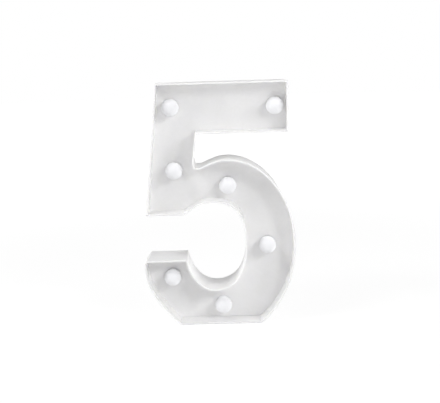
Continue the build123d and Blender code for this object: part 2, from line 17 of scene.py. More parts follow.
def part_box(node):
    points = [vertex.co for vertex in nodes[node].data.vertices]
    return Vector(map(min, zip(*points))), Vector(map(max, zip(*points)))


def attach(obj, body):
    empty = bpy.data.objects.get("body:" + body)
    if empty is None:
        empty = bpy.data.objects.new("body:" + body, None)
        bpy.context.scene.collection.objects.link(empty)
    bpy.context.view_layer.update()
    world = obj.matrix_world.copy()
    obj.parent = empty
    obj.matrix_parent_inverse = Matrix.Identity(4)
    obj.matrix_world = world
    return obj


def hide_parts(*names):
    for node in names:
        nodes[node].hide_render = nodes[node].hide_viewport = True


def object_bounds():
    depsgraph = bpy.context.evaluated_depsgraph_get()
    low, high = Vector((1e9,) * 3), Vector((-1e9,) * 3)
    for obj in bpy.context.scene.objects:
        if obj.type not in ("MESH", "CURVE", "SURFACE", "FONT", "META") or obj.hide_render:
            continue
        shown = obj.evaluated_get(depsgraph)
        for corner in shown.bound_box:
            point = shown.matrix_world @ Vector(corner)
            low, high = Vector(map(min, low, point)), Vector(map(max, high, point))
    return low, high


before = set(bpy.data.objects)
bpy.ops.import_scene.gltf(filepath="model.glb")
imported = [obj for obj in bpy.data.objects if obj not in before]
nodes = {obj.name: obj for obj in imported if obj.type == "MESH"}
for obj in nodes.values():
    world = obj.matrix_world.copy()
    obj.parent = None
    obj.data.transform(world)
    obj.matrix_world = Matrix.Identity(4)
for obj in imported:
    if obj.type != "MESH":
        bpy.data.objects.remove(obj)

scene = bpy.context.scene
cad_low, cad_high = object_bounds()
millimetre = 0.001
cad_size = [round(side / millimetre, 1) for side in cad_high - cad_low]
print("CAD nodes:", len(nodes), "size in mm:", cad_size)

# %% [markdown]
# ## Camera
# The photo looks a little down on the figure from about 0.7 m, which shows in the tops of the
# walls and in how the back edge shrinks. A camera set by eye would put each piece a little off
# its place in the photo. So the place, turn and lens below were worked out from the photo's
# vanishing point and from the outline of the front rim. A long lens and no shift keep the
# perspective the same in any other view.

# %% Place the camera
camera_place = Vector((0.01248, -0.71723, 0.25513))
camera_azimuth = math.radians(0.903)
camera_pitch = math.radians(11.392)
camera_roll = math.radians(-1.728)
focal_length = 65.45
sensor_width = 36.0
nearest_seen = 0.01

camera_data = bpy.data.cameras.new("photo_camera")
camera_data.lens = focal_length
camera_data.sensor_width = sensor_width
camera_data.clip_start = nearest_seen
camera = bpy.data.objects.new("photo_camera", camera_data)
scene.collection.objects.link(camera)
camera_turn = (
    Matrix.Rotation(camera_azimuth, 4, "Z")
    @ Matrix.Rotation(math.pi / 2 - camera_pitch, 4, "X")
    @ Matrix.Rotation(camera_roll, 4, "Z")
)
camera.matrix_world = Matrix.Translation(camera_place) @ camera_turn
scene.camera = camera
scene.view_settings.view_transform = "Standard"
print("camera at", [round(v, 3) for v in camera_place], "lens:", focal_length)

# %% [markdown]
# ## Node helpers
# The room, the floor and every finish below are networks of nodes. A network can be wired by
# hand, but then each node takes several lines. These helpers add one node each and give back
# its output, so that a network reads as a recipe from top to bottom. The first few link
# sockets and work out numbers.

# %% Helpers for numbers


def link(tree, source, target):
    tree.links.new(source, target)


def put(socket, value):
    """Links a socket to an input, or sets the input to a plain value."""
    if isinstance(value, bpy.types.NodeSocket):
        link(socket.id_data, value, socket)
    else:
        socket.default_value = value


def maths(tree, operation, first, second, clamp=False):
    """Works out one number from two, such as MULTIPLY or MAXIMUM."""
    node = tree.nodes.new("ShaderNodeMath")
    node.operation = operation
    node.use_clamp = clamp
    put(node.inputs[0], first)
    put(node.inputs[1], second)
    return node.outputs[0]


def step_between(tree, value, low, high, to_low=0.0, to_high=1.0):
    """A smooth step from to_low to to_high, while a value goes from low to high."""
    node = tree.nodes.new("ShaderNodeMapRange")
    node.interpolation_type = "SMOOTHSTEP"
    for name, setting in (
        ("Value", value),
        ("From Min", low),
        ("From Max", high),
        ("To Min", to_low),
        ("To Max", to_high),
    ):
        put(node.inputs[name], setting)
    return node.outputs["Result"]


print("helpers for numbers ready")

# %% [markdown]
# The next helpers give patterns and colours. Every pattern here is noise, placed by object
# coordinates: they stay on a piece when its body moves, and they need no unwrapping. The last
# helper starts a node group, which is a recipe that several materials can share.

# %% Helpers for patterns, colours and groups
NUMBER = "NodeSocketFloat"
COLOUR = "NodeSocketColor"


def noise_of(tree, place, scale, detail=3.0, distortion=0.0):
    node = tree.nodes.new("ShaderNodeTexNoise")
    put(node.inputs["Vector"], place)
    put(node.inputs["Scale"], scale)
    put(node.inputs["Detail"], detail)
    put(node.inputs["Distortion"], distortion)
    return node.outputs["Fac"]


def blend_colours(tree, share, first, second, kind="MIX"):
    """The first colour where the share is 0, and the second where it is 1."""
    node = tree.nodes.new("ShaderNodeMix")
    node.data_type = "RGBA"
    node.blend_type = kind
    colour_a, colour_b = [s for s in node.inputs if s.type == "RGBA"]
    put(node.inputs["Factor"], share)
    put(colour_a, first)
    put(colour_b, second)
    return [s for s in node.outputs if s.type == "RGBA"][0]


def object_place(tree, output="Object"):
    """Coordinates that stay on the piece when its body moves."""
    return tree.nodes.new("ShaderNodeTexCoord").outputs[output]


def new_group(name, inputs, outputs):
    """A shader node group; inputs are name, kind and starting value, outputs name and kind."""
    tree = bpy.data.node_groups.new(name, "ShaderNodeTree")
    for label, kind, value in inputs:
        socket = tree.interface.new_socket(name=label, in_out="INPUT", socket_type=kind)
        socket.default_value = value
    for label, kind in outputs:
        tree.interface.new_socket(name=label, in_out="OUTPUT", socket_type=kind)
    given = tree.nodes.new("NodeGroupInput").outputs
    made = tree.nodes.new("NodeGroupOutput").inputs
    return tree, given, made


print("helpers for patterns, colours and groups ready")

# %% [markdown]
# ## Light
# A white object on white shows its form only through soft shadows. In the photo each bulb has
# a soft shadow to its left and another to its right, so there is a large source on each side.
# Lamps could be placed by eye. Here the figure was rendered with each of many lamps alone, and
# the mix that came nearest to the photo's shades was kept: two lamps on the right, two on the
# left and a weak one in front.
#
# Two more stand low behind the figure and light the cover for the views of the back. They
# stand to the sides, because a lamp straight behind shines off the tops of the walls.

# %% Hang the lamps
figure_centre = (cad_low + cad_high) / 2
lamp_distance = 1.1


def add_lamp(name, azimuth, elevation, size, watts):
    """A square lamp that faces the figure; azimuth 0 is in front and 90 to the right."""
    turn, rise = math.radians(azimuth), math.radians(elevation)
    away = Vector(
        (math.sin(turn) * math.cos(rise), -math.cos(turn) * math.cos(rise), math.sin(rise))
    )
    data = bpy.data.lights.new(name, "AREA")
    data.shape = "SQUARE"
    data.size = size
    data.energy = watts
    lamp = bpy.data.objects.new(name, data)
    scene.collection.objects.link(lamp)
    lamp.location = figure_centre + away * lamp_distance
    lamp.rotation_mode = "QUATERNION"
    lamp.rotation_quaternion = away.to_track_quat("Z", "Y")


add_lamp("right_lamp", azimuth=40, elevation=28, size=0.25, watts=2.7)
add_lamp("right_side_lamp", azimuth=60, elevation=28, size=0.25, watts=2.1)
add_lamp("left_high_lamp", azimuth=-60, elevation=50, size=0.30, watts=3.7)
add_lamp("left_low_lamp", azimuth=-80, elevation=5, size=0.35, watts=3.0)
add_lamp("front_lamp", azimuth=0, elevation=5, size=0.35, watts=1.9)
add_lamp("back_left_lamp", azimuth=214, elevation=-3, size=0.20, watts=2.3)
add_lamp("back_right_lamp", azimuth=146, elevation=-3, size=0.20, watts=2.3)

# %% [markdown]
# The world lights the object with a plain soft grey. The camera, and any gloss or clear
# plastic, sees it as white instead, through the Light Path node, so the background is white
# without a brighter light on the object.

# %% White to the eye, grey to the light
room_strength = 0.25
plain_white = (1.0, 1.0, 1.0, 1.0)


def white_to_the_eye(tree):
    """1 for rays from the camera, a reflection or a clear piece, and 0 for light itself."""
    path = tree.nodes.new("ShaderNodeLightPath")
    seen, mirrored, passed = (
        path.outputs[name] for name in ("Is Camera Ray", "Is Glossy Ray", "Is Transmission Ray")
    )
    return maths(tree, "MAXIMUM", maths(tree, "MAXIMUM", seen, mirrored), passed)


world = bpy.data.worlds.new("white_room")
scene.world = world
world.use_nodes = True
tree = world.node_tree
tree.nodes.clear()
room = tree.nodes.new("ShaderNodeBackground")
room.inputs["Color"].default_value = plain_white
room.inputs["Strength"].default_value = room_strength
backdrop = tree.nodes.new("ShaderNodeBackground")
backdrop.inputs["Color"].default_value = plain_white
choice = tree.nodes.new("ShaderNodeMixShader")
world_output = tree.nodes.new("ShaderNodeOutputWorld")
link(tree, white_to_the_eye(tree), choice.inputs["Fac"])
link(tree, room.outputs[0], choice.inputs[1])
link(tree, backdrop.outputs[0], choice.inputs[2])
link(tree, choice.outputs[0], world_output.inputs["Surface"])
print("room strength:", room_strength)

# %% [markdown]
# ## Floor
# The figure stands on a white table top. A plain disc is enough. Its own white takes the soft
# shadow of the figure, and a share of plain white, again only for the eye, lifts it to the
# white of the background. Away from the figure the plain white takes over, so that no edge
# shows where the floor ends and the room begins.

# %% Lay the floor
floor_radius = 3.0
floor_corners = 96

floor_mesh = bpy.data.meshes.new("floor")
floor_form = bmesh.new()
bmesh.ops.create_circle(floor_form, cap_ends=True, radius=floor_radius, segments=floor_corners)
floor_form.to_mesh(floor_mesh)
floor_form.free()
floor = bpy.data.objects.new("floor", floor_mesh)
scene.collection.objects.link(floor)
floor.location.z = cad_low.z
print("floor radius in m:", floor_radius)

# %% Paint the floor
shadow_share = 0.22
shadow_reach = 0.30
plain_from = 1.10
table_white = (0.86, 0.86, 0.86, 1.0)
table_roughness = 0.9
lifted_white = 1.12

floor_paint = bpy.data.materials.new("white_table_top")
floor_paint.use_nodes = True
tree = floor_paint.node_tree
paint = tree.nodes["Principled BSDF"]
paint.inputs["Base Color"].default_value = table_white
paint.inputs["Roughness"].default_value = table_roughness
paint.inputs["Specular IOR Level"].default_value = 0.0
plain = tree.nodes.new("ShaderNodeEmission")
plain.inputs["Strength"].default_value = lifted_white
distance = tree.nodes.new("ShaderNodeVectorMath")
distance.operation = "LENGTH"
link(tree, object_place(tree), distance.inputs[0])
plain_share = step_between(
    tree, distance.outputs["Value"], shadow_reach, plain_from, 1.0 - shadow_share, 1.0
)
choice = tree.nodes.new("ShaderNodeMixShader")
link(tree, maths(tree, "MULTIPLY", white_to_the_eye(tree), plain_share), choice.inputs["Fac"])
link(tree, paint.outputs[0], choice.inputs[1])
link(tree, plain.outputs[0], choice.inputs[2])
link(tree, choice.outputs[0], tree.nodes["Material Output"].inputs["Surface"])
floor_mesh.materials.append(floor_paint)
print("floor paint:", floor_paint.name, "with a shadow share of", shadow_share)

# %% [markdown]
# ## Shared effects as node groups
# Several finishes share the same effects, so each effect is one node group with named inputs
# and outputs, and each material gives it values of its own. The groups put out only colours,
# masks and heights, and the shader itself stays in the material. A range here holds the two
# values between which an effect fades in.
#
# The first is the skin of a moulding: melt that flowed round the mould leaves faint cloudy
# marks, the polish of the mould waves a little, and a spark-eroded mould leaves fine grain.

# %% Group: moulded skin
streaks_to_clouds = 6.0
polish_wave_scale = 160.0
cloud_range = (0.35, 0.65)

tree, given, made = new_group(
    "moulded skin",
    [
        ("Colour", COLOUR, (0.8, 0.8, 0.8, 1.0)),
        ("Cloudiness", NUMBER, 0.04),
        ("Cloud Scale", NUMBER, 22.0),
        ("Grain Scale", NUMBER, 2600.0),
        ("Grain Depth", NUMBER, 0.5),
        ("Roughness", NUMBER, 0.4),
        ("Roughness Change", NUMBER, 0.1),
    ],
    [("Colour", COLOUR), ("Roughness", NUMBER), ("Height", NUMBER)],
)
place = object_place(tree)
clouds = noise_of(tree, place, given["Cloud Scale"], detail=4.0, distortion=1.2)
streak_scale = maths(tree, "MULTIPLY", given["Cloud Scale"], streaks_to_clouds)
streaks = noise_of(tree, place, streak_scale, detail=3.0, distortion=2.5)
average = maths(tree, "MULTIPLY", maths(tree, "ADD", clouds, streaks), 0.5)
shade = step_between(tree, average, *cloud_range)
darkening = maths(tree, "MULTIPLY", shade, given["Cloudiness"])
brightness = maths(tree, "SUBTRACT", 1.0, darkening)
grey = tree.nodes.new("ShaderNodeCombineColor")
for channel in ("Red", "Green", "Blue"):
    link(tree, brightness, grey.inputs[channel])
clouded = blend_colours(tree, 1.0, given["Colour"], grey.outputs[0], "MULTIPLY")
link(tree, clouded, made["Colour"])
change = maths(tree, "MULTIPLY", shade, given["Roughness Change"])
link(tree, maths(tree, "ADD", given["Roughness"], change), made["Roughness"])
grain = noise_of(tree, place, given["Grain Scale"], detail=2.0)
waves = noise_of(tree, place, polish_wave_scale, detail=1.0)
fine = maths(tree, "MULTIPLY", grain, given["Grain Depth"])
link(tree, maths(tree, "ADD", fine, waves), made["Height"])
moulded_skin = tree
print("group:", moulded_skin.name)

# %% [markdown]
# Dust settles on what faces up, in a thin film with specks. The mask below is strong where the
# surface looks up, broken by noise, and zero on what faces down.

# %% Group: settled dust
film_scale = 90.0
upward_range = (0.25, 0.95)
film_range = (0.3, 0.8)
speck_range = (0.62, 0.75)

tree, given, made = new_group(
    "settled dust",
    [("Amount", NUMBER, 0.3), ("Speck Scale", NUMBER, 900.0)],
    [("Mask", NUMBER)],
)
normal = tree.nodes.new("ShaderNodeSeparateXYZ")
link(tree, object_place(tree, "Normal"), normal.inputs[0])
facing_up = step_between(tree, normal.outputs["Z"], *upward_range)
place = object_place(tree)
film = noise_of(tree, place, film_scale, detail=5.0, distortion=0.6)
film = step_between(tree, film, *film_range)
specks = noise_of(tree, place, given["Speck Scale"], detail=1.0)
specks = step_between(tree, specks, *speck_range)
lying = maths(tree, "MULTIPLY", maths(tree, "ADD", film, specks, clamp=True), facing_up)
link(tree, maths(tree, "MULTIPLY", lying, given["Amount"]), made["Mask"])
settled_dust = tree
print("group:", settled_dust.name)

# %% [markdown]
# Handling leaves hairline scuffs in a few directions, in patches. Noise that is squeezed forty
# times across one direction gives fibres, and a narrow band of its values gives lines.

# %% Group: handling scuffs
fibre_squeeze = (1.0, 40.0, 40.0)
scuff_directions = ((0.3, 0.5, 0.9), (0.2, -0.7, -0.5))
line_range = (0.66, 0.70)
patch_scale = 35.0
patch_range = (0.5, 0.65)

tree, given, made = new_group(
    "handling scuffs",
    [("Amount", NUMBER, 0.3), ("Scale", NUMBER, 30.0)],
    [("Mask", NUMBER)],
)
place = object_place(tree)
scuff_lines = []
for direction in scuff_directions:
    mapping = tree.nodes.new("ShaderNodeMapping")
    link(tree, place, mapping.inputs["Vector"])
    mapping.inputs["Rotation"].default_value = direction
    mapping.inputs["Scale"].default_value = fibre_squeeze
    fibre = noise_of(tree, mapping.outputs[0], given["Scale"], detail=2.0)
    scuff_lines.append(step_between(tree, fibre, *line_range))
patches = step_between(tree, noise_of(tree, place, patch_scale), *patch_range)
mask = maths(tree, "MULTIPLY", maths(tree, "MAXIMUM", *scuff_lines), patches)
link(tree, maths(tree, "MULTIPLY", mask, given["Amount"]), made["Mask"])
handling_scuffs = tree
print("group:", handling_scuffs.name)

# %% [markdown]
# Edges get a colour of their own in a thin band, which is partly wear from rubbing and partly
# painted light: a painted highlight where the band is paler than the piece, and painted shade
# on the shell's rim, where it is darker. The Bevel node gives the normal that a rounded edge
# would have, so where it differs from the true normal there is an edge within its radius. Noise
# breaks the line.

# %% Group: edge wear and painted light
edge_reach = 0.4 * millimetre
edge_samples = 4
edge_range = (0.99, 0.85)
gap_range = (0.35, 0.6)

tree, given, made = new_group(
    "edge wear and painted light",
    [("Amount", NUMBER, 0.5), ("Break Scale", NUMBER, 140.0)],
    [("Mask", NUMBER)],
)
rounded = tree.nodes.new("ShaderNodeBevel")
rounded.samples = edge_samples
rounded.inputs["Radius"].default_value = edge_reach
true_face = tree.nodes.new("ShaderNodeNewGeometry")
likeness = tree.nodes.new("ShaderNodeVectorMath")
likeness.operation = "DOT_PRODUCT"
link(tree, rounded.outputs[0], likeness.inputs[0])
link(tree, true_face.outputs["Normal"], likeness.inputs[1])
edge = step_between(tree, likeness.outputs["Value"], *edge_range)
gaps = noise_of(tree, object_place(tree), given["Break Scale"], detail=4.0)
mask = maths(tree, "MULTIPLY", edge, step_between(tree, gaps, *gap_range))
link(tree, maths(tree, "MULTIPLY", mask, given["Amount"]), made["Mask"])
edge_wear_and_painted_light = tree
print("group:", edge_wear_and_painted_light.name)

# %% [markdown]
# Plated metal is bright where it was rubbed and a little dull and warm where air has got at
# it. Fine drawing lines run level, because their noise is squeezed from top to bottom. One
# group serves screws, springs and contacts.

# %% Group: plated metal
tarnish_scale = 260.0
tarnish_range = (0.4, 0.7)
line_stretch = (1.0, 1.0, 12.0)
dulling = 0.25

tree, given, made = new_group(
    "plated metal",
    [
        ("Colour", COLOUR, (0.7, 0.7, 0.7, 1.0)),
        ("Tarnish Colour", COLOUR, (0.4, 0.36, 0.3, 1.0)),
        ("Tarnish", NUMBER, 0.3),
        ("Roughness", NUMBER, 0.25),
        ("Line Scale", NUMBER, 400.0),
    ],
    [("Colour", COLOUR), ("Roughness", NUMBER), ("Height", NUMBER)],
)
place = object_place(tree)
blotches = noise_of(tree, place, tarnish_scale, detail=5.0)
blotches = step_between(tree, blotches, *tarnish_range)
dull = maths(tree, "MULTIPLY", blotches, given["Tarnish"])
tarnished = blend_colours(tree, dull, given["Colour"], given["Tarnish Colour"])
link(tree, tarnished, made["Colour"])
stretch = tree.nodes.new("ShaderNodeMapping")
link(tree, place, stretch.inputs["Vector"])
stretch.inputs["Scale"].default_value = line_stretch
drawn = noise_of(tree, stretch.outputs[0], given["Line Scale"], detail=2.0)
spread = maths(tree, "MULTIPLY", maths(tree, "ADD", dull, drawn), dulling)
link(tree, maths(tree, "ADD", given["Roughness"], spread), made["Roughness"])
link(tree, drawn, made["Height"])
plated_metal = tree
print("group:", plated_metal.name)

# %% [markdown]
# ## Plastics
# A plastic finish is a Principled shader fed by the moulded skin, with dust, scuffs and an edge
# band of wear and painted light laid over it in its own amounts. White lamp plastic is slightly
# see-through, so light sinks in and comes out nearby. The subsurface setting does that, and it
# is why the thin front walls look brighter than the walls that have the dark case behind them.
# The shader could also glow a little instead, but then the figure would shine in the dark.

# %% Recipe for a moulded plastic
dust_colour = (0.62, 0.60, 0.57, 1.0)
# Pale edge colour for the white pieces: partly wear, partly a painted highlight along their
# edges.
pale_edge_wear_and_highlight = (0.95, 0.95, 0.95, 1.0)
worn_roughness = 0.3
scuff_depth = 0.8
skin_relief = 0.05 * millimetre
light_reach = (1.0, 1.0, 0.95)


def effect(tree, group, **settings):
    """Places a node group; settings are its inputs, with _ for a space in their names."""
    node = tree.nodes.new("ShaderNodeGroup")
    node.node_tree = group
    for name, value in settings.items():
        put(node.inputs[name.replace("_", " ")], value)
    return node.outputs


def plastic(name, colour, roughness, depth=0.0, grain=0.5, grain_scale=2600.0,
            cloudiness=0.04, dust=0.1, scuffs=0.2, edge_amount_for_wear_and_light=0.3, edge_colour_for_wear_and_light=pale_edge_wear_and_highlight, gloss=0.5,
            clear=0.0, bump=0.12, frosting=0.0):
    """A moulded plastic. depth is how far light sinks in, in metres."""
    material = bpy.data.materials.new(name)
    material.use_nodes = True
    tree = material.node_tree
    shader = tree.nodes["Principled BSDF"]
    skin = effect(tree, moulded_skin, Colour=colour, Cloudiness=cloudiness,
                  Roughness=roughness, Grain_Depth=grain, Grain_Scale=grain_scale)
    edges = effect(tree, edge_wear_and_painted_light, Amount=edge_amount_for_wear_and_light)["Mask"]
    lines = effect(tree, handling_scuffs, Amount=scuffs)["Mask"]
    film = effect(tree, settled_dust, Amount=dust)["Mask"]
    # The edge band is coloured for wear and painted light: a paler band is a painted highlight,
    # a darker one painted shade.
    edge_worn_and_lit_colour = blend_colours(tree, edges, skin["Colour"], edge_colour_for_wear_and_light)
    link(tree, blend_colours(tree, film, edge_worn_and_lit_colour, dust_colour), shader.inputs["Base Color"])
    worn = maths(tree, "MAXIMUM", maths(tree, "MAXIMUM", lines, edges), film)
    dulled = maths(tree, "MULTIPLY", worn, worn_roughness)
    rough = maths(tree, "ADD", skin["Roughness"], dulled, clamp=True)
    link(tree, rough, shader.inputs["Roughness"])
    relief = tree.nodes.new("ShaderNodeBump")
    relief.inputs["Strength"].default_value = bump
    relief.inputs["Distance"].default_value = skin_relief
    cut = maths(tree, "MULTIPLY", lines, scuff_depth)
    link(tree, maths(tree, "SUBTRACT", skin["Height"], cut), relief.inputs["Height"])
    link(tree, relief.outputs[0], shader.inputs["Normal"])
    shader.inputs["Specular IOR Level"].default_value = gloss
    shader.inputs["Diffuse Roughness"].default_value = frosting
    if depth:
        shader.inputs["Subsurface Weight"].default_value = 1.0
        shader.inputs["Subsurface Radius"].default_value = light_reach
        shader.inputs["Subsurface Scale"].default_value = depth
    if clear:
        shader.inputs["Transmission Weight"].default_value = clear
    return material


print("recipe for plastics ready")

# %% [markdown]
# The shell is polished, and its edges are painted a shade darker than the rest: painted shade
# that stands in for the dimmer light on the rounded front rim. The cover is the same plastic
# from a grained mould. The globes are frosted: a frosted skin throws light back evenly, so a
# globe stays bright right out to its rim, and the diffuse roughness of the shader does that.
# Subsurface light would make the rim darker. The slider is black, and a diode is clear resin.

# %% Mix the plastics
shell_white = plastic(
    "shell_white", (0.892, 0.888, 0.886, 1.0), roughness=0.36, depth=2.5 * millimetre,
    grain=0.15, cloudiness=0.03, dust=0.04, scuffs=0.25, edge_amount_for_wear_and_light=0.3,
    # Painted shade: a darker edge colour that dims the shell's bright front rim.
    edge_colour_for_wear_and_light=(0.82, 0.815, 0.80, 1.0),
)
cover_white = plastic(
    "cover_white", (0.892, 0.888, 0.886, 1.0), roughness=0.5, depth=1.2 * millimetre,
    grain=1.2, grain_scale=1800.0, cloudiness=0.03, dust=0.05, scuffs=0.5, edge_amount_for_wear_and_light=0.3,
    bump=0.3,
)
globe_white = plastic(
    "globe_white", (0.945, 0.947, 0.963, 1.0), roughness=0.5, gloss=0.25, grain=0.3,
    cloudiness=0.02, dust=0.02, scuffs=0.05, edge_amount_for_wear_and_light=0.0, frosting=1.0,
)
cap_white = plastic("cap_white", (0.86, 0.86, 0.85, 1.0), roughness=0.5)
wire_white = plastic(
    "wire_white", (0.80, 0.80, 0.77, 1.0), roughness=0.45, grain=0.2, scuffs=0.1, edge_amount_for_wear_and_light=0.0
)
slider_black = plastic(
    "slider_black", (0.035, 0.035, 0.035, 1.0), roughness=0.4, dust=0.25, edge_amount_for_wear_and_light=0.7,
    edge_colour_for_wear_and_light=(0.16, 0.16, 0.16, 1.0),
)
diode_clear = plastic(
    "diode_clear", (0.93, 0.92, 0.86, 1.0), roughness=0.08, grain=0.05, dust=0.0,
    scuffs=0.0, edge_amount_for_wear_and_light=0.0, clear=0.8,
)
plastics = (
    shell_white, cover_white, globe_white, cap_white, wire_white, slider_black, diode_clear
)
print("plastics:", [material.name for material in plastics])

# %% [markdown]
# ## Metals
# Screws are zinc plated, springs and contact plates nickel plated, the switch has a tin plated
# case, and a battery cell is nickel plated steel. They differ only in colour, tarnish and
# roughness, so one recipe makes them all.

# %% Mix the metals
metal_dust = 0.1
metal_bump = 0.15
line_relief = 0.03 * millimetre


def metal(name, colour, roughness, tarnish, tarnish_colour):
    material = bpy.data.materials.new(name)
    material.use_nodes = True
    tree = material.node_tree
    shader = tree.nodes["Principled BSDF"]
    plate = effect(tree, plated_metal, Colour=colour, Tarnish_Colour=tarnish_colour,
                   Tarnish=tarnish, Roughness=roughness)
    film = effect(tree, settled_dust, Amount=metal_dust)["Mask"]
    dusty = blend_colours(tree, film, plate["Colour"], dust_colour)
    link(tree, dusty, shader.inputs["Base Color"])
    link(tree, plate["Roughness"], shader.inputs["Roughness"])
    relief = tree.nodes.new("ShaderNodeBump")
    relief.inputs["Strength"].default_value = metal_bump
    relief.inputs["Distance"].default_value = line_relief
    link(tree, plate["Height"], relief.inputs["Height"])
    link(tree, relief.outputs[0], shader.inputs["Normal"])
    shader.inputs["Metallic"].default_value = 1.0
    return material


zinc_screw = metal(
    "zinc_screw", (0.66, 0.66, 0.68, 1.0), roughness=0.28,
    tarnish=0.5, tarnish_colour=(0.36, 0.35, 0.33, 1.0),
)
nickel_contact = metal(
    "nickel_contact", (0.76, 0.73, 0.68, 1.0), roughness=0.16,
    tarnish=0.35, tarnish_colour=(0.45, 0.38, 0.28, 1.0),
)
tin_case = metal(
    "tin_case", (0.68, 0.68, 0.67, 1.0), roughness=0.36,
    tarnish=0.4, tarnish_colour=(0.42, 0.40, 0.37, 1.0),
)
cell_steel = metal(
    "cell_steel", (0.72, 0.71, 0.69, 1.0), roughness=0.2,
    tarnish=0.25, tarnish_colour=(0.45, 0.42, 0.38, 1.0),
)
print("metals:", zinc_screw.name, nickel_contact.name, tin_case.name, cell_steel.name)

# %% [markdown]
# ## Finishes on the CAD solids
# Where a solid already has its real shape, it stays and only takes a finish. A node's kind is
# the longest name in the list that its own name starts with, so led_holder isn't taken for
# led.

# %% Give the solids their finishes
finish_of = {
    "front_shell": shell_white,
    "back_cover": cover_white,
    "battery_door": cover_white,
    "bulb_globe": globe_white,
    "led_holder": cap_white,
    "led": diode_clear,
    "contact": nickel_contact,
    "spring": nickel_contact,
    "cover_screws": zinc_screw,
    "battery_cell": cell_steel,
    "switch_body": tin_case,
    "switch_slider": slider_black,
    "wire": wire_white,
    "resistor": cap_white,
}
for node_name, solid in nodes.items():
    kind = max((k for k in finish_of if node_name.startswith(k)), key=len)
    for material_slot in solid.material_slots:
        material_slot.material = finish_of[kind]
print("solids with a finish:", len(nodes))

# %% [markdown]
# ## Helpers for small pieces
# The small pieces are built from points with bmesh. This helper closes a piece: faces are
# shaded smooth, edges that turn sharply stay crisp, and the piece rides on its CAD body.

# %% Finish a piece


def new_piece(name, form, finishes, body, crisp_angle=32.0):
    """Turns a bmesh into a piece on a body; finishes are its materials in order."""
    bmesh.ops.recalc_face_normals(form, faces=form.faces)
    for face in form.faces:
        face.smooth = True
    for edge in form.edges:
        if len(edge.link_faces) == 2:
            edge.smooth = edge.calc_face_angle() < math.radians(crisp_angle)
    mesh = bpy.data.meshes.new(name)
    form.to_mesh(mesh)
    form.free()
    for finish in finishes:
        mesh.materials.append(finish)
    piece = bpy.data.objects.new(name, mesh)
    scene.collection.objects.link(piece)
    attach(piece, body)
    return piece


print("helper for pieces ready")

# %% [markdown]
# A cell, a screw and a resistor are round about an axis, and a spring is a wire swept along a
# path. Both kinds are a row of rings joined by faces. A ring can shrink to a single point,
# which closes an end with triangles.

# %% Rings and the faces between them


def add_ring(form, middle, side, other, radius, corners):
    """A ring of corners, or a single point where the radius is 0."""
    if radius == 0:
        return [form.verts.new(middle)]
    ring = []
    for corner in range(corners):
        angle = 2 * math.pi * corner / corners
        point = middle + side * radius * math.cos(angle) + other * radius * math.sin(angle)
        ring.append(form.verts.new(point))
    return ring


def join_rings(form, rings, corners, finish=0):
    """Joins rings with faces, and lists each face with its row and its corner of the ring.

    A face's own corners are numbered 0 to 3; where two are the same point, the later is left.
    """
    joined = []
    for row, (first, second) in enumerate(zip(rings, rings[1:])):
        for corner in range(corners):
            after = (corner + 1) % corners
            around = [first[corner % len(first)], first[after % len(first)],
                      second[after % len(second)], second[corner % len(second)]]
            kept = [i for i, vertex in enumerate(around) if vertex not in around[:i]]
            if len(kept) < 3:
                continue
            face = form.faces.new([around[i] for i in kept])
            face.material_index = finish
            joined.append((face, kept, row, corner))
    return joined


print("helpers for rings ready")

# %% [markdown]
# Turning is like work on a lathe: a profile goes round an axis. The sleeve of a cell needs its
# print at exact places, so a turned piece also carries a map, which is unrolled like a label.

# %% Turn a form
turned_map = "turned_map"


def turn_form(form, profile, place, axis, corners, finish=0):
    """Turns a profile of (distance along the axis, radius) pairs, in millimetres.

    The faces carry a map: once round the piece across, and metres along the axis up.
    """
    profile = [(along * millimetre, radius * millimetre) for along, radius in profile]
    axis = axis.normalized()
    side = axis.orthogonal().normalized()
    other = axis.cross(side)
    label = form.loops.layers.uv.get(turned_map) or form.loops.layers.uv.new(turned_map)
    rings = [
        add_ring(form, place + axis * along, side, other, radius, corners)
        for along, radius in profile
    ]
    for face, kept, row, corner in join_rings(form, rings, corners, finish):
        shares = (corner, corner + 1, corner + 1, corner)
        heights = (profile[row][0],) * 2 + (profile[row + 1][0],) * 2
        for loop, i in zip(face.loops, kept):
            loop[label].uv = (shares[i] / corners, heights[i])


print("map of turned pieces:", turned_map)

# %% [markdown]
# A swept wire carries its ring along the path. Each ring takes its direction from the one
# before, turned as little as possible, so that the wire doesn't twist. The cut ends are drawn
# in to a blunt tip, because a snipped wire has no sharp edge.

# %% Sweep a wire
wire_sides = 12
blunt_end = ((0.6, 0.0), (0.5, 0.6), (0.0, 1.0))


def sweep_form(form, path, radius):
    """Sweeps a round wire along points; blunt_end is how far out and how wide, in radii."""
    last = len(path) - 1
    side = None
    rings = []
    for index, point in enumerate(path):
        heading = (path[min(index + 1, last)] - path[max(index - 1, 0)]).normalized()
        side = heading.orthogonal() if side is None else side - heading * side.dot(heading)
        side.normalize()
        other = heading.cross(side)
        places = [(0.0, 1.0)]
        if index == 0:
            places = [(-out, share) for out, share in blunt_end]
        if index == last:
            places = blunt_end[::-1]
        for out, share in places:
            middle = point + heading * radius * out
            rings.append(add_ring(form, middle, side, other, radius * share, wire_sides))
    join_rings(form, rings, wire_sides)


print("sides of a swept wire:", wire_sides)

# %% [markdown]
# ## Contact springs
# Each cell is pressed by a conical spring of nickel plated wire. Its wide end lies flat on the
# contact plate as one closed turn, then the wire climbs in open turns to a narrower end. The
# solids show these springs as plain cones, so a coil of the same size takes their place.

# %% Wind the springs
spring_wire = 0.3 * millimetre
spring_turns = 5.0
flat_turns = 1.0
last_flat_turns = 0.35
closed_turn_draw = 0.62 * millimetre
tip_share = 0.72
steps_per_turn = 40


